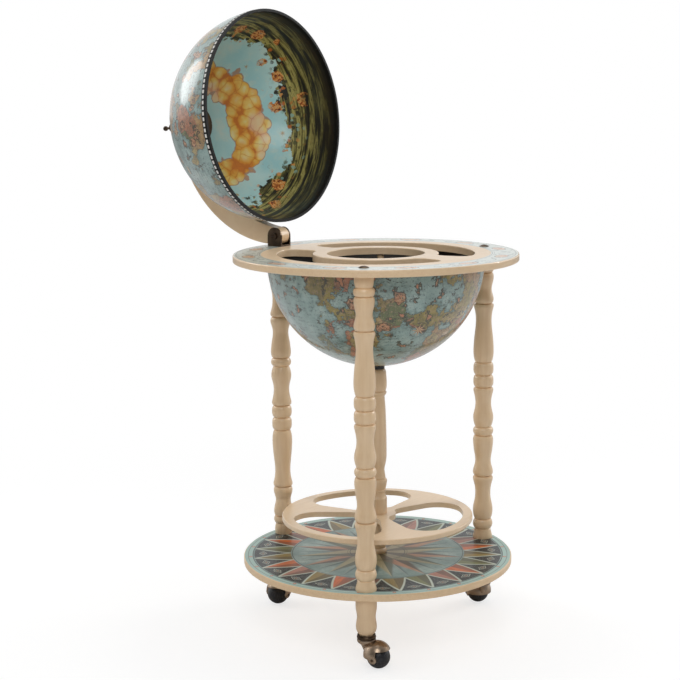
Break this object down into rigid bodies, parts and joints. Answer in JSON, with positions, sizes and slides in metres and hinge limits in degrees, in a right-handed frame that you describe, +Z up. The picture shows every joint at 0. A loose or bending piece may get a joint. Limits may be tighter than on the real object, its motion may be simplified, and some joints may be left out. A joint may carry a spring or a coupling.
{
  "type": "globe bar",
  "caption": "Globe bar: a turned three-legged stand on ball castors carries a globe whose upper half hinges up over places for bottles and glasses, above a round bottle shelf.",
  "frame": {"origin": "on the stand's axis, at the floor that the castors stand on", "axes": "+Z up, +Y from the axis toward the leg that carries the lid's hinge, +X along the hinge pin; the lid is stored open"},
  "size_m": [0.4799, 0.7132, 1.0567],
  "materials": {
    "pale_wood": "satin lacquer",
    "ring_board": "printed top under gloss lacquer",
    "printed_globe": "printed map under gloss lacquer",
    "shelf_board": "printed top under gloss lacquer",
    "dark_board": "dark satin",
    "dark_bronze": "antique bronze",
    "plated_steel": "zinc plated",
    "black_ball": "satin",
    "rim_edging": "satin"
  },
  "bodies": {
    "stand": {"horizon_ring": "ring_board", "insert_plate": "pale_wood", "glass_tray": "dark_board", "tray_spacers": "pale_wood", "bowl_shell": "printed_globe", "bottle_floor": "dark_board", "bowl_seat": "black_ball", "center_post": "pale_wood", "bottle_holder": "pale_wood", "post_foot": "pale_wood", "shelf_plate": "shelf_board", "post_rod": "plated_steel", "rod_washers": "plated_steel", "rod_nuts": "plated_steel", "leg_studs": "plated_steel", "ring_cap_bolts": "dark_bronze", "hinge_leg_bolt": "plated_steel", "hinge_bracket": "dark_bronze", "bracket_screws": "dark_bronze", "hinge_pin": "dark_bronze", "hinge_pin_nut": "dark_bronze", "castor_stems": "plated_steel", "upper_leg_1": "pale_wood", "upper_leg_2": "pale_wood", "upper_leg_3": "pale_wood", "lower_leg_1": "pale_wood", "lower_leg_2": "pale_wood", "lower_leg_3": "pale_wood", "castor_cup_1": "dark_bronze", "castor_cup_2": "dark_bronze", "castor_cup_3": "dark_bronze"},
    "lid": {"lid_shell": "printed_globe", "lid_rim_trim": "rim_edging", "meridian_arm": "pale_wood", "arm_screws": "dark_bronze", "finial": "dark_bronze", "pole_plate": "dark_bronze", "pole_nut": "dark_bronze"},
    "castor_swivel_1": {"castor_hood_1": "dark_bronze", "castor_axle_1": "dark_bronze"},
    "castor_wheel_1": {"castor_ball_1": "black_ball"},
    "castor_swivel_2": {"castor_hood_2": "dark_bronze", "castor_axle_2": "dark_bronze"},
    "castor_wheel_2": {"castor_ball_2": "black_ball"},
    "castor_swivel_3": {"castor_hood_3": "dark_bronze", "castor_axle_3": "dark_bronze"},
    "castor_wheel_3": {"castor_ball_3": "black_ball"}
  },
  "joints": [
    {"name": "lid_hinge", "type": "hinge", "parent": "stand", "child": "lid", "pos_m": [0, 0.207, 0.666], "axis": [1, 0, 0], "range_deg": [0, 95.5]},
    {"name": "castor_swivel_1", "type": "hinge", "parent": "stand", "child": "castor_swivel_1", "pos_m": [0, 0.207, 0.046], "axis": [0, 0, 1], "continuous": true},
    {"name": "castor_roll_1", "type": "hinge", "parent": "castor_swivel_1", "child": "castor_wheel_1", "pos_m": [-0.02192, 0.20508, 0.019], "axis": [0.0872, -0.9962, 0], "continuous": true},
    {"name": "castor_swivel_2", "type": "hinge", "parent": "stand", "child": "castor_swivel_2", "pos_m": [-0.17927, -0.1035, 0.046], "axis": [0, 0, 1], "continuous": true},
    {"name": "castor_roll_2", "type": "hinge", "parent": "castor_swivel_2", "child": "castor_wheel_2", "pos_m": [-0.17681, -0.12536, 0.019], "axis": [0.9938, 0.1115, 0], "continuous": true},
    {"name": "castor_swivel_3", "type": "hinge", "parent": "stand", "child": "castor_swivel_3", "pos_m": [0.17927, -0.1035, 0.046], "axis": [0, 0, 1], "continuous": true},
    {"name": "castor_roll_3", "type": "hinge", "parent": "castor_swivel_3", "child": "castor_wheel_3", "pos_m": [0.19281, -0.08616, 0.019], "axis": [-0.788, 0.6157, 0], "continuous": true}
  ]
}
